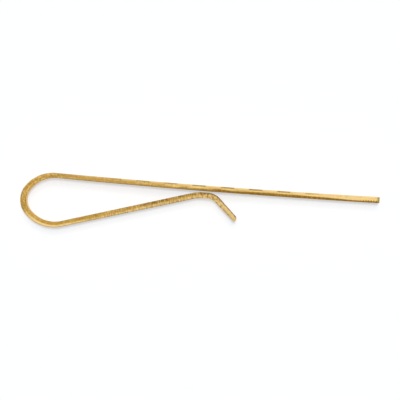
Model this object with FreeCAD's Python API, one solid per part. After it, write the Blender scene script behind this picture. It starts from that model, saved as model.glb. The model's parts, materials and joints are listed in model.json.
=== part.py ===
import FreeCAD
import Part
import math
import os
from collections import namedtuple

# Sprung tie clip, bent cold from one strip of gold-coloured metal.
# The strip stands on its lower edge at z = 0, the way the clip lies on a table and also the way it is worn.
# X runs along the bar, from its free tip (-X) to the bow (+X). The bar's show face looks along -Y,
# and the sprung arm lies behind it, towards +Y. The origin is under the middle of the whole clip.
# The strip is cut into sections at its bends, so that the bow can flex: neighbours meet face to face.
# All lengths are in millimetres and all angles in degrees.

Vector = FreeCAD.Vector
UP = Vector(0, 0, 1)

# The strip
strip_width = 5.0
tip_thickness = 0.93          # at the bar's tip
bar_root_thickness = 0.75     # where the bar runs into the bow
crown_thickness = 0.92
arm_root_thickness = 0.84     # where the bow runs into the arm
nose_thickness = 0.9          # from the end of the arm to the start of the lip
lip_thickness = 0.78          # at the free end of the lip
outer_edge_radius = 0.25      # rounding along both edges of the face that shows
inner_edge_radius = 0.18      # rounding along both edges of the face that grips

# The bar that shows on the tie
bar_length = 48.6             # straight from the tip to the bow
bar_sag = 0.22                # how far the bar's middle lies behind its two ends
tip_corner_radius = 0.7       # as seen square to the broad face

# The bright-cut facets along both edges of the bar's show face
facet_count = 9
facet_pitch = 4.25
facet_from_tip = 3.8          # from the tip to the middle of the first facet
facet_length = 2.5
facet_depth = 0.16            # below the rounded edge

# The bow: two shoulders with a tighter crown between them, by the radius along the middle of the strip
shoulder_radius = 5.1
crown_radius = 2.9
front_shoulder_turn = 55.0
crown_turn = 79.0

# The grip pad, which lies along the back of the bar
grip_gap = 0.23               # from the bar, with nothing in the clip
grip_from_tip = 26.135        # from the bar's tip to the middle of the pad
grip_length = 0.87
heel_radius = 5.35            # bend from the arm into the pad
toe_radius = 2.1              # bend from the pad into the lip

# The lip that leads the cloth in
lip_turn = 43.0               # away from the pad
lip_length = 4.08
lip_corner_radius = 0.8       # as seen square to the broad face
lip_cloth_side_radius = 0.5   # as seen along the strip's width, on the face that meets the cloth
lip_far_side_radius = 0.2

# A stretch of the strip bent to one radius: a positive turn is to the left, towards the inside of the bow.
Bend = namedtuple("Bend", "start heading radius turn")
Straight = namedtuple("Straight", "start heading length")


def ahead(heading):
    angle = math.radians(heading)
    return Vector(math.cos(angle), math.sin(angle), 0)


def inward(heading):
    """Square to the strip, from its show face to its gripping face."""
    return ahead(heading + 90)


def bend_centre(bend):
    return bend.start + inward(bend.heading) * math.copysign(bend.radius, bend.turn)


def end_of(section):
    """The middle of the strip and its heading where a section ends."""
    if isinstance(section, Straight):
        return section.start + ahead(section.heading) * section.length, section.heading
    heading = section.heading + section.turn
    return bend_centre(section) - inward(heading) * math.copysign(section.radius, section.turn), heading


def bar_section():
    """The bar as one long shallow bend, hollow towards the show face."""
    half_turn = 2 * math.degrees(math.atan(2 * bar_sag / bar_length))
    radius = bar_length / (2 * math.sin(math.radians(half_turn)))
    return Bend(Vector(0, 0, 0), half_turn, radius, -2 * half_turn)


def bar_station(distance):
    """The middle of the bar and its heading at a distance from the tip."""
    bar = bar_section()
    turn = -math.degrees(distance / bar.radius)
    return end_of(bar._replace(turn=turn))


def bar_thickness(distance):
    return tip_thickness + (bar_root_thickness - tip_thickness) * distance / bar_length


def strip_path():
    """The sections of the strip from the bar's tip to the lip, with the tip at the origin."""
    bar = bar_section()
    front_shoulder = Bend(*end_of(bar), shoulder_radius, front_shoulder_turn)
    crown = Bend(*end_of(front_shoulder), crown_radius, crown_turn)

    # The pad runs back along the bar, with the gap between them.
    bar_middle, bar_heading = bar_station(grip_from_tip)
    pad_heading = bar_heading + 180
    pad_offset = bar_thickness(grip_from_tip) / 2 + grip_gap + nose_thickness / 2
    pad_middle = bar_middle + inward(bar_heading) * pad_offset
    pad_start = pad_middle - ahead(pad_heading) * (grip_length / 2)

    # The arm is the line that touches the back shoulder on its left and the heel on its right.
    crown_end, crown_heading = end_of(crown)
    shoulder_centre = crown_end + inward(crown_heading) * shoulder_radius
    heel_centre = pad_start - inward(pad_heading) * heel_radius
    between = heel_centre - shoulder_centre
    slant = math.asin((shoulder_radius + heel_radius) / between.Length)
    arm_heading = math.degrees(math.atan2(between.y, between.x) + slant)
    back_shoulder = Bend(crown_end, crown_heading, shoulder_radius, (arm_heading - crown_heading) % 360)
    arm_start, arm_heading = end_of(back_shoulder)
    arm = Straight(arm_start, arm_heading, between.Length * math.cos(slant))

    heel = Bend(*end_of(arm), heel_radius, -((arm_heading - pad_heading) % 360))
    pad = Straight(*end_of(heel), grip_length)
    toe = Bend(*end_of(pad), toe_radius, -lip_turn)
    lip = Straight(*end_of(toe), lip_length)
    return {
        "front_bar": [bar],
        "front_shoulder": [front_shoulder],
        "crown": [crown],
        "back_shoulder": [back_shoulder],
        "spring_arm": [arm],
        "grip_nose": [heel, pad, toe],
        "lead_in_lip": [lip],
    }


def across(start, heading, inwards, height):
    """A point of the strip's cross-section: how far inwards of its middle, and how high."""
    return start + inward(heading) * inwards + UP * height


def corner_arc(start, heading, thickness, side, low, radius):
    """One rounded corner of the cross-section, as an arc from the broad face to the narrow one."""
    face = side * thickness / 2
    edge = 0 if low else strip_width
    rise = 1 if low else -1
    bulge = radius * (1 - math.sqrt(0.5))
    return Part.Arc(
        across(start, heading, face, edge + rise * radius),
        across(start, heading, face - side * bulge, edge + rise * bulge),
        across(start, heading, face - side * radius, edge),
    )


def cross_section(start, heading, thickness):
    """The strip's rounded rectangle, square to its heading, as a face."""
    outer_low = corner_arc(start, heading, thickness, -1, True, outer_edge_radius)
    inner_low = corner_arc(start, heading, thickness, 1, True, inner_edge_radius)
    inner_high = corner_arc(start, heading, thickness, 1, False, inner_edge_radius)
    outer_high = corner_arc(start, heading, thickness, -1, False, outer_edge_radius)
    edges = [
        outer_low.toShape(),
        Part.LineSegment(outer_low.EndPoint, inner_low.EndPoint).toShape(),
        inner_low.toShape(),
        Part.LineSegment(inner_low.StartPoint, inner_high.StartPoint).toShape(),
        inner_high.toShape(),
        Part.LineSegment(inner_high.EndPoint, outer_high.EndPoint).toShape(),
        outer_high.toShape(),
        Part.LineSegment(outer_high.StartPoint, outer_low.StartPoint).toShape(),
    ]
    return Part.Face(Part.Wire(Part.__sortEdges__(edges)))


def section_solid(section, thickness):
    profile = cross_section(section.start, section.heading, thickness)
    if isinstance(section, Straight):
        return profile.extrude(ahead(section.heading) * section.length)
    return profile.revolve(bend_centre(section), UP, section.turn)


def side_line(stations, side):
    """One side of the strip seen along its width, straight through two stations or bent through three."""
    points = [across(start, heading, side * thickness / 2, 0) for start, heading, thickness in stations]
    return Part.Arc(*points) if len(points) == 3 else Part.LineSegment(*points)


def middle_of(line):
    return line.valueAt((line.FirstParameter + line.LastParameter) / 2)


def edges_along(solid, line):
    """The edges of a solid that run along a line, at any height."""
    middle = middle_of(line.toShape())
    offsets = [(edge, middle_of(edge) - middle) for edge in solid.Edges]
    return [edge for edge, offset in offsets if math.hypot(offset.x, offset.y) < bar_root_thickness / 10]


def tapered_solid(section, first_thickness, last_thickness):
    """A stretch of strip that changes thickness along it, with its four long edges rounded."""
    stations = [(section.start, section.heading, first_thickness), (*end_of(section), last_thickness)]
    if isinstance(section, Bend):
        halfway = end_of(section._replace(turn=section.turn / 2))
        stations.insert(1, (*halfway, (first_thickness + last_thickness) / 2))
    outer = side_line(stations, -1)
    inner = side_line(stations, 1)
    start = Part.LineSegment(inner.StartPoint, outer.StartPoint)
    end = Part.LineSegment(outer.EndPoint, inner.EndPoint)
    outline = Part.Wire(Part.__sortEdges__([line.toShape() for line in (start, outer, end, inner)]))
    solid = Part.Face(outline).extrude(UP * strip_width)
    solid = solid.makeFillet(outer_edge_radius, edges_along(solid, outer))
    return solid.makeFillet(inner_edge_radius, edges_along(solid, inner))


def round_corners(solid, end, heading, corner_radius):
    """Rounds the two corners at a free end of the strip, as seen square to its broad face."""
    reach = strip_width / 2
    for low in (True, False):
        rise = 1 if low else -1
        edge = 0 if low else strip_width
        centre = end - ahead(heading) * corner_radius + UP * (edge + rise * corner_radius)
        block = Part.makeBox(2 * corner_radius, reach, 2 * corner_radius)
        block.translate(Vector(0, -reach / 2, -2 * corner_radius if low else 0))
        block.rotate(Vector(0, 0, 0), UP, heading)
        block.translate(centre)
        start = centre - inward(heading) * reach
        rounding = Part.makeCylinder(corner_radius, 2 * reach, start, inward(heading))
        solid = solid.cut(block.cut(rounding))
    return solid


def round_end(solid, end, heading, thickness, side, end_radius):
    """Rounds a free end of the strip towards one broad face, as seen along its width."""
    centre = across(end - ahead(heading) * end_radius, heading, side * (thickness / 2 - end_radius), 0)
    block = Part.makeBox(2 * end_radius, 2 * end_radius, strip_width)
    block.translate(Vector(0, 0 if side > 0 else -2 * end_radius, 0))
    block.rotate(Vector(0, 0, 0), UP, heading)
    block.translate(centre)
    return solid.cut(block.cut(Part.makeCylinder(end_radius, strip_width, centre)))


def facet_cutter(distance, low):
    """A wheel that cuts one shallow facet into an edge of the bar's show face, at 45 degrees."""
    point, heading = bar_station(distance)
    edge = 0 if low else strip_width
    outwards = (UP * (-1 if low else 1) - inward(heading)).normalize()
    corner = across(point, heading, -bar_thickness(distance) / 2, edge)
    rounded_edge = corner - outwards * (outer_edge_radius * (math.sqrt(2) - 1))
    wheel_radius = facet_length ** 2 / (8 * facet_depth) + facet_depth / 2
    wheel_axis = ahead(heading).cross(outwards)
    wheel_width = 2 * outer_edge_radius + 4 * facet_depth
    centre = rounded_edge + outwards * (wheel_radius - facet_depth)
    return Part.makeCylinder(wheel_radius, wheel_width, centre - wheel_axis * (wheel_width / 2), wheel_axis)


def front_bar(sections):
    bar = sections[0]
    solid = tapered_solid(bar, tip_thickness, bar_root_thickness)
    solid = round_corners(solid, bar.start, bar.heading + 180, tip_corner_radius)
    for number in range(facet_count):
        for low in (True, False):
            solid = solid.cut(facet_cutter(facet_from_tip + number * facet_pitch, low))
    return solid


def grip_nose(sections):
    heel, pad, toe = [section_solid(section, nose_thickness) for section in sections]
    return heel.fuse([pad, toe]).removeSplitter()


def lead_in_lip(sections):
    lip = sections[0]
    end, heading = end_of(lip)
    solid = tapered_solid(lip, nose_thickness, lip_thickness)
    solid = round_corners(solid, end, heading, lip_corner_radius)
    solid = round_end(solid, end, heading, lip_thickness, 1, lip_cloth_side_radius)
    return round_end(solid, end, heading, lip_thickness, -1, lip_far_side_radius)


def build():
    """Every piece of the clip by name, with the bar's tip over the origin."""
    path = strip_path()
    return {
        "front_bar": front_bar(path["front_bar"]),
        "front_shoulder": tapered_solid(*path["front_shoulder"], bar_root_thickness, crown_thickness),
        "crown": section_solid(*path["crown"], crown_thickness),
        "back_shoulder": tapered_solid(*path["back_shoulder"], crown_thickness, arm_root_thickness),
        "spring_arm": tapered_solid(*path["spring_arm"], arm_root_thickness, nose_thickness),
        "grip_nose": grip_nose(path["grip_nose"]),
        "lead_in_lip": lead_in_lip(path["lead_in_lip"]),
    }


def centring_shift(pieces):
    """The move that puts the origin under the middle of the clip."""
    box = Part.makeCompound(list(pieces.values())).BoundBox
    return Vector(-box.Center.x, -box.Center.y, 0)


def main():
    os.makedirs("parts", exist_ok=True)
    pieces = build()
    shift = centring_shift(pieces)
    for name, piece in pieces.items():
        piece.translate(shift)
        piece.exportStep(os.path.join("parts", name + ".step"))
        print(f"{name}: {len(piece.Solids)} solid, {piece.Volume:.2f} mm3, valid {piece.isValid()}")


if __name__ == "__main__":
    main()
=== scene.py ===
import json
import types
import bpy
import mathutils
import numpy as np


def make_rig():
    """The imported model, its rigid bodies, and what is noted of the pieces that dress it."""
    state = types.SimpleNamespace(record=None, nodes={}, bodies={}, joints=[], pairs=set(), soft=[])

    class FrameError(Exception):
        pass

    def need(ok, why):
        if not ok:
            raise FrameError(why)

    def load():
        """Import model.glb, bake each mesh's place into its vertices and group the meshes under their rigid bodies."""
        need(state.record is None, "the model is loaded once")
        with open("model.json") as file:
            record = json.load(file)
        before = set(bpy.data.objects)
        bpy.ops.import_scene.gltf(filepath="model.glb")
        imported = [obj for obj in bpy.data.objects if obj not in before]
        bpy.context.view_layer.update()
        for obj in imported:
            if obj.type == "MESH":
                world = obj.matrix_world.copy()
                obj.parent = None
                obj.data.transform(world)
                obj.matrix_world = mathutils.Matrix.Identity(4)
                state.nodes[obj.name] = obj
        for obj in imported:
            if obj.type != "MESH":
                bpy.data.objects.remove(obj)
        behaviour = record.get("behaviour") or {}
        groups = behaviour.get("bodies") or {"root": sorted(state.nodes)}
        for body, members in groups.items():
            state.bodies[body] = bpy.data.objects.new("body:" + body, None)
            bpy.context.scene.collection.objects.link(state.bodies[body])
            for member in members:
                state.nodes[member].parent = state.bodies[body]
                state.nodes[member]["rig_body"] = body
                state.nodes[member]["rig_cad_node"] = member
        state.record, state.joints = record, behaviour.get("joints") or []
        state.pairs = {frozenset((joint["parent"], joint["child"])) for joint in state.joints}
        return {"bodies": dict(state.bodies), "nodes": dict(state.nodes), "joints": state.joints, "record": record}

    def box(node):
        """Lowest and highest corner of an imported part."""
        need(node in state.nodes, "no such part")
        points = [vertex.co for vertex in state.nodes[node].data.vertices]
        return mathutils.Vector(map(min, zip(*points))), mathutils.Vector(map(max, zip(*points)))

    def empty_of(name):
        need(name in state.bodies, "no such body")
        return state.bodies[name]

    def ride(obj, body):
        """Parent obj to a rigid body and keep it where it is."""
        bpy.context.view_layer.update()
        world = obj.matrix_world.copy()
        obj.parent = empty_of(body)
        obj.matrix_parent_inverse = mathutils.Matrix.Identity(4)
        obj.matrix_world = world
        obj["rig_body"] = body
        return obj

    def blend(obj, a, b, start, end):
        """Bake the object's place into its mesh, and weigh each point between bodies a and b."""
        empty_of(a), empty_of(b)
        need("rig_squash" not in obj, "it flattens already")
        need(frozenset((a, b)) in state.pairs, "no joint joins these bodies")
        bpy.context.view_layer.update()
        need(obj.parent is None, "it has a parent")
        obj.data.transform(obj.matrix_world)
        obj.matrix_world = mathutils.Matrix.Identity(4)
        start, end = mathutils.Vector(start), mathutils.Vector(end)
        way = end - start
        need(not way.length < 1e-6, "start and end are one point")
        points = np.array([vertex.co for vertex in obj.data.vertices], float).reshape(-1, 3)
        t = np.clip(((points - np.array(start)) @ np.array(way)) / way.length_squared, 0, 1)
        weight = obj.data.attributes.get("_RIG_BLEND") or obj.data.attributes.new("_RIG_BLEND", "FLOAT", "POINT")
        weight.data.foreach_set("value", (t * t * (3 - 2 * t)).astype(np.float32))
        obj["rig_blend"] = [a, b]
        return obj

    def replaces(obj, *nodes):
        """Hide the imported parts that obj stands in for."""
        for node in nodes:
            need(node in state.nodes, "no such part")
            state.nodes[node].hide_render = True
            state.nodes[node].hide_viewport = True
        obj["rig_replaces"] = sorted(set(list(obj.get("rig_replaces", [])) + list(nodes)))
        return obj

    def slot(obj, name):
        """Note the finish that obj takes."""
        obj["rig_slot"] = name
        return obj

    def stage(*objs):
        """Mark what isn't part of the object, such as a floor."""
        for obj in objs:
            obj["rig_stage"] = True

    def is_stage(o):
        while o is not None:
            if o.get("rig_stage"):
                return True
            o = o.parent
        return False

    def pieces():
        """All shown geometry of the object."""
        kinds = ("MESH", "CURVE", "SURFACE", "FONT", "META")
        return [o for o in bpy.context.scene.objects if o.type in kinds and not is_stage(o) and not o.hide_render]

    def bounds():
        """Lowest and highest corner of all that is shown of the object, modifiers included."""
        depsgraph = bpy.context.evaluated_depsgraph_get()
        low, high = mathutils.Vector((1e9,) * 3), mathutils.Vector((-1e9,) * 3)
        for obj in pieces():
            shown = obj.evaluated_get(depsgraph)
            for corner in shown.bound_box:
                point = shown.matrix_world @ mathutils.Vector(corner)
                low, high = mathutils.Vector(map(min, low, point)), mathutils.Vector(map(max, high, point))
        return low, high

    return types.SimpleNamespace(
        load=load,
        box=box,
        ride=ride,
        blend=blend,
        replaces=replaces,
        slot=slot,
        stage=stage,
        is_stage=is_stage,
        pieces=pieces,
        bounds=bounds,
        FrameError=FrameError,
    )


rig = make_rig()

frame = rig.load()

import json
import math
import bmesh
import bpy
from mathutils import Vector

cadBox = [list(corner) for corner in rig.bounds()]
mm = 0.001

# Sprung tie clip bent from one strip. It stands on the strip's lower edge: +Z is up the strip's width,
# the bar runs along X from its tip (-X) to the bow (+X), and its show face looks along -Y.
# Piece sizes are in millimetres and degrees, stage sizes in metres.

strip = {
    "width": (cadBox[1][2] - cadBox[0][2]) / mm,
    "tipThick": 0.93,
    "barRootThick": 0.75,     # where the bar runs into the bow
    "crownThick": 0.92,
    "armRootThick": 0.84,     # where the bow runs into the arm
    "noseThick": 0.9,
    "lipThick": 0.78,         # at the lip's free end
    "outerEdge": 0.25,        # rounding along the show face
    "innerEdge": 0.18,        # rounding along the gripping face
    "outerReach": 0.45,       # how far round a corner the mesh is kept fine
    "innerReach": 0.22,
    "restFlat": 0.002,        # the least flat on a rounded corner, where a facet starts from nothing
    "step": 0.2,              # along the strip
    "leastStep": 0.004,
    "bendSteps": 12,          # to each radius of a bend, where it is tight
    "faceSteps": 8,           # across a broad face
    "edgeSteps": 3,           # across a narrow face
    "arcSteps": 5,            # on each side of a corner's middle
    "sharpFrom": 18.0,        # creases stay sharp above this angle
}


def ahead(heading):
    return Vector((math.cos(math.radians(heading)), math.sin(math.radians(heading)), 0))


def inward(heading):
    return ahead(heading + 90)        # from the show face to the gripping face


def bendFrom(start, heading, radius, turn):
    return {"start": start, "heading": heading, "radius": radius, "turn": turn,
            "length": radius * math.radians(abs(turn))}


def runFrom(start, heading, length):
    return {"start": start, "heading": heading, "turn": 0, "length": length}


def placeOn(stretch, distance):
    if not stretch["turn"]:
        return stretch["start"] + ahead(stretch["heading"]) * distance, stretch["heading"]
    side = math.copysign(1, stretch["turn"])
    centre = stretch["start"] + inward(stretch["heading"]) * side * stretch["radius"]
    heading = stretch["heading"] + side * math.degrees(distance / stretch["radius"])
    return centre - inward(heading) * side * stretch["radius"], heading


def endOf(stretch):
    return placeOn(stretch, stretch["length"])


# The line that the strip is bent along
bar = {"length": 48.6, "sag": 0.22, "tipCorner": 0.7, "tipCornerSteps": 9, "rim": 0.1, "rimSteps": 5}
bow = {"shoulderRadius": 5.1, "crownRadius": 2.9, "frontTurn": 55.0, "crownTurn": 79.0}
nose = {"gap": 0.23, "fromTip": 26.135, "padLength": 0.87, "heelRadius": 5.35, "toeRadius": 2.1}
lip = {"turn": 43.0, "length": 4.08, "corner": 0.8, "cornerSteps": 10,
       "clothSideRim": 0.5, "clothSideSteps": 8, "farSideRim": 0.2, "farSideSteps": 6}


def barStretch(start):
    halfTurn = 2 * math.degrees(math.atan(2 * bar["sag"] / bar["length"]))
    radius = bar["length"] / (2 * math.sin(math.radians(halfTurn)))
    return bendFrom(start, halfTurn, radius, -2 * halfTurn)


def barThick(distance):
    return strip["tipThick"] + (strip["barRootThick"] - strip["tipThick"]) * distance / bar["length"]


def bendStrip(tip):
    shoulderRadius, heelRadius = bow["shoulderRadius"], nose["heelRadius"]
    barLine = barStretch(tip)
    frontShoulder = bendFrom(*endOf(barLine), shoulderRadius, bow["frontTurn"])
    crown = bendFrom(*endOf(frontShoulder), bow["crownRadius"], bow["crownTurn"])
    # the pad lies along the back of the bar
    barMiddle, barHeading = placeOn(barLine, nose["fromTip"])
    padHeading = barHeading + 180
    padOffset = barThick(nose["fromTip"]) / 2 + nose["gap"] + strip["noseThick"] / 2
    padMiddle = barMiddle + inward(barHeading) * padOffset
    padStart = padMiddle - ahead(padHeading) * (nose["padLength"] / 2)
    # the arm touches the back shoulder on its left and the heel on its right
    crownEnd, crownHeading = endOf(crown)
    shoulderCentre = crownEnd + inward(crownHeading) * shoulderRadius
    between = padStart - inward(padHeading) * heelRadius - shoulderCentre
    slant = math.asin((shoulderRadius + heelRadius) / between.length)
    armHeading = math.degrees(math.atan2(between.y, between.x) + slant)
    backShoulder = bendFrom(crownEnd, crownHeading, shoulderRadius, (armHeading - crownHeading) % 360)
    arm = runFrom(*endOf(backShoulder), between.length * math.cos(slant))
    heel = bendFrom(*endOf(arm), heelRadius, -((arm["heading"] - padHeading) % 360))
    pad = runFrom(*endOf(heel), nose["padLength"])
    toe = bendFrom(*endOf(pad), nose["toeRadius"], -lip["turn"])
    lipRun = runFrom(*endOf(toe), lip["length"])
    return {"front_bar": [barLine], "front_shoulder": [frontShoulder], "crown": [crown],
            "back_shoulder": [backShoulder], "spring_arm": [arm],
            "grip_nose": [heel, pad, toe], "lead_in_lip": [lipRun]}


def jointPlace(name):
    return Vector(next(joint["pos_m"] for joint in frame["joints"] if joint["name"] == name)) / mm


# the bow starts to flex at the show face of the bar's end, and that joint says where the strip lies
barReach, barEndHeading = endOf(barStretch(Vector((0, 0, 0))))
barEnd = jointPlace("bar_root_flex") + inward(barEndHeading) * strip["barRootThick"] / 2
barEnd.z = 0
stretches = bendStrip(barEnd - barReach)
print("bent", sum(len(each) for each in stretches.values()), "stretches of strip")


def wholeLength(name):
    return sum(stretch["length"] for stretch in stretches[name])


def placeAlong(name, distance):
    run = stretches[name]
    for stretch in run[:-1]:
        if distance <= stretch["length"]:
            return placeOn(stretch, distance)
        distance -= stretch["length"]
    return placeOn(run[-1], min(distance, run[-1]["length"]))


# The strip's cross-section
def cornerLine(radius, reach, cut):
    # from the broad face to the narrow face: (depth from the broad face, distance from the narrow one)
    lead = reach - radius
    whole = 2 * lead + radius * math.pi / 2

    def point(run):
        if run > whole / 2:
            return point(whole - run)[::-1]
        if run <= lead:
            return 0, reach - run
        angle = (run - lead) / radius
        return radius - radius * math.cos(angle), radius - radius * math.sin(angle)

    if cut <= radius * (1 - math.sqrt(0.5)):
        cutStart = lead + radius * (math.pi / 4 - math.acos(1 - cut / radius))
    else:
        cutStart = reach - math.sqrt(2) * cut - radius * (2 - math.sqrt(2))
    steps = strip["arcSteps"]
    if cutStart > lead:
        runs = [0] + [lead + (cutStart - lead) * index / (steps - 1) for index in range(steps)]
    else:
        runs = [cutStart * index / steps for index in range(steps + 1)]
    firstHalf = [point(run) for run in runs]
    return firstHalf + [pair[::-1] for pair in reversed(firstHalf)]


def sectionOutline(thickness, outerRim, innerRim, inset, cut):
    # (inwards of the strip's middle, height), once round
    outer, inner = outerRim - thickness / 2, thickness / 2 - innerRim
    squeeze = (inner - outer) / thickness
    low, high = inset, strip["width"] - inset

    def corner(side, isLow, radius, reach, depth):
        face = inner if side > 0 else outer
        line = cornerLine(radius * squeeze, reach * squeeze, depth)
        return [(face - side * deep, low + far if isLow else high - far) for deep, far in line]

    def between(first, last, steps):
        return [(first[0] + (last[0] - first[0]) * index / steps,
                 first[1] + (last[1] - first[1]) * index / steps) for index in range(1, steps)]

    outerLow = corner(-1, True, strip["outerEdge"], strip["outerReach"], cut)
    outerHigh = corner(-1, False, strip["outerEdge"], strip["outerReach"], cut)
    innerLow = corner(1, True, strip["innerEdge"], strip["innerReach"], strip["restFlat"])
    innerHigh = corner(1, False, strip["innerEdge"], strip["innerReach"], strip["restFlat"])
    return (between(outerLow[0], outerHigh[0], strip["faceSteps"]) + outerHigh
            + between(outerHigh[-1], innerHigh[-1], strip["edgeSteps"]) + innerHigh[::-1]
            + between(innerHigh[0], innerLow[0], strip["faceSteps"]) + innerLow
            + between(innerLow[-1], outerLow[-1], strip["edgeSteps"]) + outerLow[::-1])


def isFacetFlat(index):
    # whether a facet is cut at this place of the outline
    cornerPoints = 2 * (strip["arcSteps"] + 1)
    face, edge = strip["faceSteps"] - 1, strip["edgeSteps"] - 1
    highFlat = face + strip["arcSteps"]
    lowFlat = 2 * face + 2 * edge + 3 * cornerPoints + strip["arcSteps"]
    return index in (highFlat, lowFlat)


# The bright-cut facets along both edges of the bar's show face
facets = {"count": 9, "pitch": 4.25, "fromTip": 3.8, "length": 2.5, "depth": 0.16,
          "steps": 20, "brightFrom": 0.008}


def facetCut(distance):
    wheel = facets["length"] ** 2 / (8 * facets["depth"]) + facets["depth"] / 2
    number = round((distance - facets["fromTip"]) / facets["pitch"])
    number = min(max(number, 0), facets["count"] - 1)
    off = distance - facets["fromTip"] - number * facets["pitch"]
    if abs(off) >= facets["length"] / 2:
        return strip["restFlat"]
    return max(strip["restFlat"], facets["depth"] - wheel + math.sqrt(wheel ** 2 - off ** 2))


# Shader maths
class Wire:
    # one socket of a node tree, so that sums of sockets are written as sums
    def __init__(self, tree, socket=None):
        self.tree = tree
        self.socket = socket

    def node(self, kind, settings=None, sockets=None, output=0):
        made = self.tree.nodes.new(kind)
        for name, value in (settings or {}).items():
            setattr(made, name, value)
        for name, value in (sockets or {}).items():
            if isinstance(value, Wire):
                self.tree.links.new(value.socket, made.inputs[name])
            else:
                made.inputs[name].default_value = value
        return Wire(self.tree, made.outputs[output])

    def maths(self, operation, first, second=0.0, clamp=False):
        settings = {"operation": operation, "use_clamp": clamp}
        return self.node("ShaderNodeMath", settings, {0: first, 1: second})

    def __add__(self, other):
        return self.maths("ADD", self, other)

    def __radd__(self, other):
        return self.maths("ADD", other, self)

    def __sub__(self, other):
        return self.maths("SUBTRACT", self, other)

    def __rsub__(self, other):
        return self.maths("SUBTRACT", other, self)

    def __mul__(self, other):
        return self.maths("MULTIPLY", self, other)

    def __rmul__(self, other):
        return self.maths("MULTIPLY", other, self)

    def __truediv__(self, other):
        return self.maths("DIVIDE", self, other)

    def __rtruediv__(self, other):
        return self.maths("DIVIDE", other, self)

    def __neg__(self):
        return 0 - self

    def __abs__(self):
        return self.maths("ABSOLUTE", self)

    def held(self):
        return self.maths("ADD", self, 0.0, clamp=True)        # kept between 0 and 1

    def ramped(self, low, high):
        return self.node("ShaderNodeMapRange", {"interpolation_type": "SMOOTHSTEP"},
                         {"Value": self, "From Min": low, "From Max": high})

    def mixed(self, first, second):
        # the colour sockets of a Mix node have numbers, because its names repeat
        return self.node("ShaderNodeMix", {"data_type": "RGBA"}, {0: self, 6: first, 7: second}, output=2)

    def scaled(self, x, y, z):
        return self.node("ShaderNodeVectorMath", {"operation": "MULTIPLY"}, {0: self, 1: (x, y, z)})


def newMaterial(name):
    material = bpy.data.materials.new(name)
    material.use_nodes = True
    material.node_tree.nodes.clear()
    return material, Wire(material.node_tree)


def finishMaterial(pen, shader):
    output = pen.tree.nodes.new("ShaderNodeOutputMaterial")
    pen.tree.links.new(shader.socket, output.inputs["Surface"])


def stripPlace(pen):
    # where a point lies on the strip when it is laid out straight, and its distances from the tip,
    # inwards of the strip's middle and above the lower edge
    place = pen.node("ShaderNodeAttribute", {"attribute_name": "straightStrip"}, output="Vector")
    return place, *(pen.node("ShaderNodeSeparateXYZ", {}, {0: place}, output=axis) for axis in "XYZ")


def noise(pen, place, perMm, detail, roughness=0.55):
    return pen.node("ShaderNodeTexNoise", {"noise_dimensions": "3D"},
                    {"Vector": place.scaled(*perMm), "Scale": 1.0, "Detail": detail, "Roughness": roughness})


def evenMarks(pen, place, span=(0.3, 0.7), **texture):
    return noise(pen, place, **texture).ramped(*span) - 0.5        # as much darker as lighter


def courseAlong(fromTip, course):
    value, *changes = course
    for start, end, change in changes:
        value = value + change * fromTip.ramped(start, end)
    return value


# Satin gold: filed across its narrow faces, brushed along its broad ones, with painted light and shade on its narrow
# faces and rims
satinGold = {
    "dark": (0.26, 0.14, 0.025, 1),       # tone 0, the deepest painted shade
    "gold": (0.60, 0.368, 0.080, 1),      # tone 0.5
    "cream": (1.0, 0.72, 0.295, 1),       # tone 1, the brightest painted highlight
    "orange": (0.63, 0.31, 0.055, 1),
    "olive": (0.55, 0.395, 0.080, 1),
    "pale": (0.80, 0.59, 0.27, 1),
    "grazing": (1.0, 0.8, 0.45, 1),       # what the metal mirrors at a flat angle
    "orangeShare": 0.55,
    "oliveShare": 0.5,
    "broadTints": 0.3,                    # how much of the other colours the broad faces have
    "broadTone": 0.62,
    "broadBrushing": 0.3,
    "broadFlecks": 0.03,
    "broadClouds": 0.06,
    "roughness": 0.34,
    "broadPolish": 0.07,                  # how much smoother the broad faces are
    "markRoughness": 0.1,
    "grainRoughness": 0.06,
    "grainRelief": 0.25,
    "markRelief": 0.5,
    "markDepth": 0.012 * mm,
    "dullFade": 0.6,                      # how much less painted shade the edge has at its outside
    "nickPitch": 0.3927,
    "nickWidth": (-0.5, 0.8),             # of a wave from -1 to 1
}
# How many of each mark there are to a millimetre: along the strip, across it and up its width
satinMarks = {
    "clouds": {"perMm": (0.5, 0.9, 0.5), "detail": 3.0},
    "flecks": {"perMm": (2.6, 3.2, 2.6), "detail": 2.0},
    "fileMarks": {"perMm": (6.2, 0.6, 0.6), "detail": 1.0},
    "streaks": {"perMm": (0.22, 4.4, 0.6), "detail": 1.0},
    "brushing": {"perMm": (0.1, 2.0, 15.0), "detail": 3.0, "roughness": 0.6, "span": (0.25, 0.75)},
    "grain": {"perMm": (7.0, 7.0, 7.0), "detail": 2.0},
    "wander": {"perMm": (0.4, 0, 0.3), "detail": 1.0},
}
satinTints = {"perMm": (1.3, 1.8, 1.3), "detail": 3.0, "orange": (0.5, 0.66), "olive": (0.35, 0.47)}
# Where a finish starts and where it is full: down from a narrow face, or out or in from the strip's middle
satinBands = {
    "filed": (0.1, 0.35),                 # down to where the brushing has taken over
    "rim": (0.25, 0.4),
    "middleOuter": (0.12, 0.26),
    "middleInner": (0.0, 0.14),
    "dullEdge": (0.18, 0.26),
    "dullFade": (0.34, 0.42),
    "outerLine": (0.28, 0.42),
    "clothLine": (0.26, 0.42),
    "farSide": (0.1, 0.3),
    "clothSide": (0.14, 0.32),
    "pale": (0.08, 0.3),
}
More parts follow.
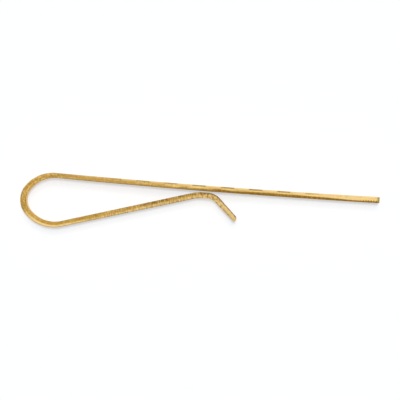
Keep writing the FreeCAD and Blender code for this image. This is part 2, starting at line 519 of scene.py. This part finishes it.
# How it changes along the strip: its value at the tip, then each change (from mm, to mm, by how much)
satinCourses = {
    # painted light and shade: tone of the narrow faces' outer and inner half, where the one turns into the other and
    # how softly
    "outerTone": (0.94, (3, 6, 0.03), (9, 17, -0.18), (28, 42, -0.36), (52, 54.5, 0.03), (56.5, 58.5, 0.44),
                  (60.5, 70, -0.2), (74, 79, -0.1), (85, 86.5, -0.1), (87, 89, 0.38)),
    "innerTone": (0.03, (22, 34, 0.36), (44, 51, 0.14), (58, 62, -0.14), (73, 77, -0.2), (81, 84.5, 0.06),
                  (85.3, 87.3, 0.5)),
    "turnover": (0.24, (2.5, 11, -0.185), (11, 14, -0.03), (20, 34, 0.11), (45, 58, -0.16), (60, 62, -0.05),
                 (72, 78, 0.12), (80, 83, 0.07)),
    "wander": (0.0, (17, 20, 0.12), (31, 35, -0.07), (48, 52, -0.05)),
    "nicks": (0.11, (2.2, 3.2, -0.11)),
    "softness": (0.085, (10, 18, 0.015), (50, 57, 0.07)),
    # strength of the marks
    "clouds": (0.06, (38, 46, 0.1)),
    "flecks": (0.2, (4, 12, -0.06), (24, 32, 0.08), (46, 50, 0.24), (56.5, 58.5, -0.26), (66, 72, 0.1),
               (84, 86, 0.5), (88, 89.5, -0.3)),
    "fileMarks": (0.1, (66, 73, 0.38), (79, 82, 0.2), (85, 87, -0.4)),
    "streaks": (0.08, (22, 34, 0.12), (60, 64, -0.12)),
    # the strip's middle tone, and how much painted shade and painted light the facets throw on it by turns
    "middleTone": (0.0, (46, 50, -0.06), (57, 60, 0.06)),
    "facetBeat": (0.0, (6, 12, 0.11), (36, 40, -0.11)),
    # painted shade by this much, or painted light below 0: the edge left between the facets,
    # lines along both rims, with painted light where the nose meets the bar,
    # the lip's two sides and the tip's end
    "dullEdge": (0.12, (3.5, 15, 0.46), (25, 38, -0.42), (36, 42, -0.16)),
    "outerLine": (0.0, (50, 54, -0.22), (56, 60, 0.66), (83, 86, -0.44)),
    "clothLine": (0.0, (23.5, 25, -0.3), (27.5, 29, 0.3), (50, 54, -0.12), (57, 60, 0.12), (82.5, 84, -0.3),
                  (85.7, 87.5, 0.6)),
    "farSide": (0.0, (87.5, 89, 0.5)),
    "clothSide": (0.0, (84, 86, 0.5)),
    "tipEnd": (0.4, (0.08, 0.32, -0.4)),
    # paler: the narrow faces, more where their tone is higher, and greyer along the rims of the two broad ones
    "paleness": (0.0, (32, 40, 0.18), (48, 52, -0.18), (68, 76, 0.35), (84, 87, 0.3), (88, 89.5, 0.15)),
    "paleOuter": (0.04, (6, 16, 0.06), (36, 40, -0.03), (52, 55, 0.05)),
    "paleInner": (0.0, (34, 40, 0.08), (50, 54, -0.08), (84, 87, 0.08)),
}


def narrowFaceTone(pen, fromTip, inwards, along, marks):
    # painted light and shade across the narrow face: outerTone on the outer half, innerTone on the inner half
    wave = pen.maths("SINE", fromTip * (2 * math.pi / satinGold["nickPitch"]))
    nicks = wave.ramped(*satinGold["nickWidth"])
    turnover = along["turnover"] - along["nicks"] * nicks + marks["wander"] * along["wander"]
    side = ((inwards - turnover) / along["softness"]).ramped(-1, 1)
    tone = along["outerTone"] + side * (along["innerTone"] - along["outerTone"])
    for name in ("clouds", "fileMarks", "flecks", "streaks"):
        tone = tone + marks[name] * along[name]
    return tone


def broadFaceTone(marks):
    look = satinGold
    tone = look["broadTone"] + marks["brushing"] * look["broadBrushing"]
    return tone + marks["flecks"] * look["broadFlecks"] + marks["clouds"] * look["broadClouds"]


def facetShade(pen, fromTip, inwards, rim, along):
    # painted shade below each facet and painted light between them, and painted shade on the edge left between the
    # facets
    beat = pen.maths("COSINE", (fromTip - facets["fromTip"]) * (2 * math.pi / facets["pitch"]))
    middle = 1 - (-inwards).ramped(*satinBands["middleOuter"])
    middle = middle * (1 - inwards.ramped(*satinBands["middleInner"]))
    gapShade = (-inwards).ramped(*satinBands["dullEdge"]) * rim
    gapShade = gapShade * (1 - satinGold["dullFade"] * (-inwards).ramped(*satinBands["dullFade"]))
    return middle * (beat * along["facetBeat"] - along["middleTone"]) + gapShade * along["dullEdge"]


# painted shade and painted light along the rims, the lip's sides and the tip's end
def rimLightAndShade(inwards, edgeFace, rim, along):
    def worn(outName, inName):
        outer = (-inwards).ramped(*satinBands[outName]) * along[outName]
        return outer + inwards.ramped(*satinBands[inName]) * along[inName]

    return rim * worn("outerLine", "clothLine") + edgeFace * worn("farSide", "clothSide") + along["tipEnd"]


def satinColour(pen, place, inwards, tone, edgeFace, rim, along):
    look = satinGold

    def lessOnBroad(mask):
        return look["broadTints"] + (1 - look["broadTints"]) * mask

    tints = noise(pen, place, satinTints["perMm"], satinTints["detail"])
    tinted = lessOnBroad(edgeFace)
    orange = tints.ramped(*satinTints["orange"]) * look["orangeShare"] * tinted
    olive = (1 - tints.ramped(*satinTints["olive"])) * look["oliveShare"] * tone * tinted
    colour = (tone * 2).held().mixed(look["dark"], look["gold"])
    colour = olive.mixed(orange.mixed(colour, look["orange"]), look["olive"])
    colour = (tone * 2 - 1).held().mixed(colour, look["cream"])
    colour = (along["paleness"] * tone * tinted).mixed(colour, look["pale"])
    greyedRims = (-inwards).ramped(*satinBands["pale"]) * along["paleOuter"]
    greyedRims = greyedRims + inwards.ramped(*satinBands["pale"]) * along["paleInner"]
    return (greyedRims * lessOnBroad(rim)).mixed(colour, pen.node("ShaderNodeRGBToBW", {}, {0: colour}))


def makeSatinGold():
    look = satinGold
    material, pen = newMaterial("satinGold")
    place, fromTip, inwards, height = stripPlace(pen)
    half = strip["width"] / 2
    depth = half - abs(height - half)        # below the nearer narrow face
    edgeFace = 1 - depth.ramped(*satinBands["filed"])
    rim = 1 - depth.ramped(*satinBands["rim"])
    along = {name: courseAlong(fromTip, course) for name, course in satinCourses.items()}
    marks = {name: evenMarks(pen, place, **mark) for name, mark in satinMarks.items()}
    # the narrow faces carry painted light and shade as well as their marks
    narrowTone = narrowFaceTone(pen, fromTip, inwards, along, marks)
    tone = edgeFace * narrowTone + (1 - edgeFace) * broadFaceTone(marks)
    tone = tone - facetShade(pen, fromTip, inwards, rim, along)
    tone = (tone - rimLightAndShade(inwards, edgeFace, rim, along)).held()
    lines = edgeFace * marks["fileMarks"] + (1 - edgeFace) * marks["brushing"]
    roughness = look["roughness"] - look["broadPolish"] * (1 - edgeFace)
    roughness = roughness + look["markRoughness"] * lines + look["grainRoughness"] * marks["grain"]
    normal = pen.node("ShaderNodeBump", {}, {
        "Strength": look["markRelief"], "Distance": look["markDepth"],
        "Height": lines + look["grainRelief"] * marks["grain"]})
    shader = pen.node("ShaderNodeBsdfPrincipled", {}, {
        "Base Color": satinColour(pen, place, inwards, tone, edgeFace, rim, along), "Metallic": 1.0,
        "Roughness": roughness, "Specular Tint": look["grazing"], "Normal": normal})
    finishMaterial(pen, shader)
    return material


# Bright-cut gold: the wheel's polish, with its faint lines along the cut, and painted shade along the cut's inner
# border and towards the bow
brightGold = {
    "light": (0.9, 0.66, 0.31, 1),
    "deep": (0.74, 0.503, 0.2, 1),
    "worn": (0.68, 0.463, 0.16, 1),        # painted shade on the facets towards the bow, where they are also rougher
    "wornFrom": (24, 38),
    "wornShare": 0.9,
    "rolled": (0.5, 0.325, 0.085, 1),      # painted shade along the cut's inner border
    "rolledFrom": (11, 20),
    "rolledBand": (-0.28, -0.1),
    "rolledShare": 0.65,
    "linesPerMm": (0.8, 14.0, 14.0),
    "lineDetail": 2.0,
    "roughness": 0.14,
    "lineRoughness": 0.1,
    "wornRoughness": 0.2,
}


def makeBrightGold():
    look = brightGold
    material, pen = newMaterial("brightCutGold")
    place, fromTip, inwards = stripPlace(pen)[:3]
    lines = noise(pen, place, look["linesPerMm"], look["lineDetail"])
    worn = fromTip.ramped(*look["wornFrom"])
    # painted shade: darker towards the bow and along the cut's inner border
    rolled = inwards.ramped(*look["rolledBand"]) * fromTip.ramped(*look["rolledFrom"])
    colour = (worn * look["wornShare"]).mixed(lines.mixed(look["deep"], look["light"]), look["worn"])
    colour = (rolled * look["rolledShare"]).mixed(colour, look["rolled"])
    roughness = look["roughness"] + look["lineRoughness"] * lines + look["wornRoughness"] * worn
    shader = pen.node("ShaderNodeBsdfPrincipled", {}, {
        "Base Color": colour, "Metallic": 1.0, "Roughness": roughness})
    finishMaterial(pen, shader)
    return material


satin = makeSatinGold()
bright = makeBrightGold()
print("mixed the metals")


# The pieces, swept one after another along the strip
def sweepRings(name, fromTip, stations, shapeAt):
    points, straight = [], []
    for distance in stations:
        middle, heading = placeAlong(name, distance)
        for inwards, height in sectionOutline(*shapeAt(distance)):
            points.append((middle + inward(heading) * inwards + Vector((0, 0, height))) * mm)
            straight.append((fromTip + distance, inwards, height))
    return points, straight


def skinRings(ring, stations, shapeAt):
    faces, brightFaces = [], []
    for station in range(len(stations) - 1):
        row = station * ring
        cutHere = min(shapeAt(stations[station])[-1], shapeAt(stations[station + 1])[-1])
        for index in range(ring):
            after = (index + 1) % ring
            faces.append((row + index, row + after, row + ring + after, row + ring + index))
            brightFaces.append(isFacetFlat(index) and cutHere > facets["brightFrom"])
    lastRow = (len(stations) - 1) * ring
    ends = [tuple(range(ring - 1, -1, -1)), tuple(range(lastRow, lastRow + ring))]
    return faces + ends, brightFaces + [False, False]


def makePiece(name, fromTip, stations, shapeAt):
    points, straight = sweepRings(name, fromTip, stations, shapeAt)
    faces, brightFaces = skinRings(len(points) // len(stations), stations, shapeAt)
    mesh = bpy.data.meshes.new(name + "_swept")
    mesh.from_pydata(points, [], faces)
    mesh.attributes.new("straightStrip", "FLOAT_VECTOR", "POINT").data.foreach_set(
        "vector", [value for point in straight for value in point])
    mesh.materials.append(satin)
    mesh.materials.append(bright)
    mesh.polygons.foreach_set("material_index", [int(isBright) for isBright in brightFaces])
    outside = bmesh.new()
    outside.from_mesh(mesh)
    bmesh.ops.recalc_face_normals(outside, faces=outside.faces)
    outside.to_mesh(mesh)
    outside.free()
    mesh.shade_smooth()
    mesh.set_sharp_from_angle(angle=math.radians(strip["sharpFrom"]))
    piece = bpy.data.objects.new(name + "_metal", mesh)
    bpy.context.scene.collection.objects.link(piece)
    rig.replaces(piece, name)
    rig.slot(piece, "satin_gold")
    return piece


def grown(first, last, distance, name):
    return first + (last - first) * distance / wholeLength(name)


def roundedBy(radius, distance):
    if distance >= radius:
        return 0
    return radius - math.sqrt(radius ** 2 - (radius - distance) ** 2)


# each shape is (thickness, outer rim, inner rim, how far its narrow faces are rounded in, facet cut)
def barShape(distance):
    rim = roundedBy(bar["rim"], distance)
    return barThick(distance), rim, rim, rim + roundedBy(bar["tipCorner"], distance), facetCut(distance)


def frontShoulderShape(distance):
    thick = grown(strip["barRootThick"], strip["crownThick"], distance, "front_shoulder")
    return thick, 0, 0, 0, strip["restFlat"]


def crownShape(distance):
    return strip["crownThick"], 0, 0, 0, strip["restFlat"]


def backShoulderShape(distance):
    thick = grown(strip["crownThick"], strip["armRootThick"], distance, "back_shoulder")
    return thick, 0, 0, 0, strip["restFlat"]


def armShape(distance):
    thick = grown(strip["armRootThick"], strip["noseThick"], distance, "spring_arm")
    return thick, 0, 0, 0, strip["restFlat"]


def noseShape(distance):
    return strip["noseThick"], 0, 0, 0, strip["restFlat"]


def lipShape(distance):
    left = lip["length"] - distance
    outerRim, innerRim = roundedBy(lip["farSideRim"], left), roundedBy(lip["clothSideRim"], left)
    inset = outerRim + roundedBy(lip["corner"], left)
    thick = grown(strip["noseThick"], strip["lipThick"], distance, "lead_in_lip")
    return thick, outerRim, innerRim, inset, strip["restFlat"]


def evenSteps(first, last, step):
    count = max(1, math.ceil((last - first) / step - 1e-6))        # a rounding error adds no step
    return [first + (last - first) * index / count for index in range(count + 1)]


def roundedSteps(radius, count):
    return [radius * (1 - math.cos(math.pi / 2 * index / count)) for index in range(count + 1)]


def spreadSteps(*lists):
    merged = []
    for place in sorted(place for steps in lists for place in steps):
        if not merged or place - merged[-1] > strip["leastStep"]:
            merged.append(place)
    return merged


def barStations():
    steps = [evenSteps(bar["tipCorner"], wholeLength("front_bar"), strip["step"]),
             roundedSteps(bar["rim"], bar["rimSteps"]),
             roundedSteps(bar["tipCorner"], bar["tipCornerSteps"])]
    for number in range(facets["count"]):
        middle = facets["fromTip"] + number * facets["pitch"]
        reach = facets["length"] / 2
        steps.append(evenSteps(middle - reach, middle + reach, facets["length"] / facets["steps"]))
    return spreadSteps(*steps)


def noseStations():
    steps, start = [], 0
    for stretch in stretches["grip_nose"]:
        finest = strip["step"]
        if stretch["turn"]:
            finest = min(finest, stretch["radius"] / strip["bendSteps"])
        steps.append(evenSteps(start, start + stretch["length"], finest))
        start += stretch["length"]
    return spreadSteps(*steps)


def lipStations():
    ends = roundedSteps(lip["farSideRim"], lip["farSideSteps"])
    ends += roundedSteps(lip["clothSideRim"], lip["clothSideSteps"])
    ends += roundedSteps(lip["corner"], lip["cornerSteps"])
    return spreadSteps(evenSteps(0, lip["length"], strip["step"]), [lip["length"] - place for place in ends])


def stationsOf(name):
    own = {"front_bar": barStations, "grip_nose": noseStations, "lead_in_lip": lipStations}
    if name in own:
        return own[name]()
    return evenSteps(0, wholeLength(name), strip["step"])


def offSolid(name):
    # the furthest that a side of the piece's box lies from its solid's box
    lowest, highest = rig.box(name)
    off = []
    for axis in range(3):
        reach = [corner[axis] for corner in pieces[name].bound_box]
        off += [abs(min(reach) - lowest[axis]), abs(max(reach) - highest[axis])]
    return max(off) / mm


shapes = {"front_bar": barShape, "front_shoulder": frontShoulderShape, "crown": crownShape,
          "back_shoulder": backShoulderShape, "spring_arm": armShape, "grip_nose": noseShape,
          "lead_in_lip": lipShape}
pieces = {}
swept = 0
for name, shape in shapes.items():
    pieces[name] = makePiece(name, swept, stationsOf(name), shape)
    swept += wholeLength(name)
    points = len(pieces[name].data.vertices)
    print(name, points, "points,", round(offSolid(name), 4), "mm off its solid's box")


# What each piece moves with: the bends turn little by little between their two bodies
flex = {"armShare": 0.55}        # of the arm's length that bends with the bow


def endsOf(name, share=1.0):
    height = Vector((0, 0, strip["width"] / 2))
    start = placeAlong(name, 0)[0]
    end = placeAlong(name, wholeLength(name) * share)[0]
    return (start + height) * mm, (end + height) * mm


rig.ride(pieces["front_bar"], "front")
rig.blend(pieces["front_shoulder"], "front", "front_shoulder", *endsOf("front_shoulder"))
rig.blend(pieces["crown"], "front_shoulder", "crown", *endsOf("crown"))
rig.blend(pieces["back_shoulder"], "crown", "back_shoulder", *endsOf("back_shoulder"))
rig.blend(pieces["spring_arm"], "back_shoulder", "arm", *endsOf("spring_arm", flex["armShare"]))
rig.ride(pieces["grip_nose"], "arm")
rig.ride(pieces["lead_in_lip"], "arm")
print("joined the pieces to their bodies")


# Stage: white floor, white surroundings, soft lamps and a camera straight above
floorLook = {"size": 4.0, "drop": 0.00002, "paper": (0.9, 0.9, 0.9, 1),
             "glow": (0.95, 0.975, 1, 1), "glowShare": 0.55}


def seenBy(pen, *rays):
    seen = pen.node("ShaderNodeLightPath", output=rays[0])
    for ray in rays[1:]:
        seen = seen + pen.node("ShaderNodeLightPath", output=ray)
    return seen.held()


def makeFloor():
    material, pen = newMaterial("whiteFloor")
    seen = seenBy(pen, "Is Camera Ray", "Is Glossy Ray", "Is Transmission Ray")
    paper = pen.node("ShaderNodeBsdfDiffuse", {}, {"Color": floorLook["paper"]})
    glow = pen.node("ShaderNodeEmission", {}, {"Color": floorLook["glow"], "Strength": 1.0})
    lit = pen.node("ShaderNodeMixShader", {}, {0: seen * floorLook["glowShare"], 1: paper, 2: glow})
    finishMaterial(pen, lit)
    half, level = floorLook["size"] / 2, -floorLook["drop"]
    mesh = bpy.data.meshes.new("floor")
    corners = [(-half, -half, level), (half, -half, level), (half, half, level), (-half, half, level)]
    mesh.from_pydata(corners, [], [(0, 1, 2, 3)])
    mesh.materials.append(material)
    floor = bpy.data.objects.new("floor", mesh)
    bpy.context.scene.collection.objects.link(floor)
    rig.stage(floor)


# what lights the floor, and the white tent that the metal mirrors: its strength overhead,
# what is added towards the front and what is taken away towards the two ends
surround = {"fill": (0.2, 0.24, 0.33, 1), "tent": (1, 1, 1, 1), "overhead": 0.95,
            "front": 0.3, "frontFrom": (0.3, 0.9), "ends": 0.5, "endsFrom": (0.6, 0.95)}


def makeSurround():
    world = bpy.data.worlds.new("whiteTent")
    bpy.context.scene.world = world
    world.use_nodes = True
    world.node_tree.nodes.clear()
    pen = Wire(world.node_tree)
    direction = pen.node("ShaderNodeTexCoord", output="Generated")
    sideways = abs(pen.node("ShaderNodeSeparateXYZ", {}, {0: direction}, output="X"))
    front = -pen.node("ShaderNodeSeparateXYZ", {}, {0: direction}, output="Y")
    tent = surround["overhead"] + surround["front"] * front.ramped(*surround["frontFrom"])
    tent = tent - surround["ends"] * sideways.ramped(*surround["endsFrom"])
    mirrored = seenBy(pen, "Is Glossy Ray", "Is Transmission Ray")
    white = (seenBy(pen, "Is Camera Ray") + mirrored).held()
    background = pen.node("ShaderNodeBackground", {}, {
        "Color": white.mixed(surround["fill"], surround["tent"]),
        "Strength": mirrored * tent + (1 - mirrored)})
    output = pen.tree.nodes.new("ShaderNodeOutputWorld")
    pen.tree.links.new(background.socket, output.inputs["Surface"])


# soft overhead lamps that light only the floor and throw the clip's shadow behind it
lamps = {
    "keyLamp": {"from": (0.0, -0.065, 1.0), "strength": 1.95, "angle": 4.5},
    "broadLamp": {"from": (0.0, -0.22, 1.0), "strength": 1.1, "angle": 16.0},
}


def makeLamp(name, lamp):
    light = bpy.data.lights.new(name, "SUN")
    light.energy = lamp["strength"]
    light.angle = math.radians(lamp["angle"])
    made = bpy.data.objects.new(name, light)
    made.rotation_euler = Vector(lamp["from"]).to_track_quat("Z", "Y").to_euler()
    made.visible_camera = False
    made.visible_glossy = False
    bpy.context.scene.collection.objects.link(made)


cameraLook = {"over": (-0.000133, -0.001697), "height": 0.58, "turn": 184.38,
              "lens": 345.0, "sensor": 36.0, "nearest": 0.01, "furthest": 10.0}


def makeCamera():
    data = bpy.data.cameras.new("overhead")
    data.lens = cameraLook["lens"]
    data.sensor_width = cameraLook["sensor"]
    data.clip_start, data.clip_end = cameraLook["nearest"], cameraLook["furthest"]
    camera = bpy.data.objects.new("overhead", data)
    camera.location = (*cameraLook["over"], cameraLook["height"])
    camera.rotation_euler = (0, 0, math.radians(cameraLook["turn"]))
    bpy.context.scene.collection.objects.link(camera)
    bpy.context.scene.camera = camera


makeFloor()
makeSurround()
for name, lamp in lamps.items():
    makeLamp(name, lamp)
makeCamera()
bpy.context.scene.view_settings.view_transform = "Standard"
print("set the stage")

with open("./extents.json", "w") as sizeFile:
    json.dump({"cad": cadBox, "visual": [list(corner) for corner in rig.bounds()]}, sizeFile)
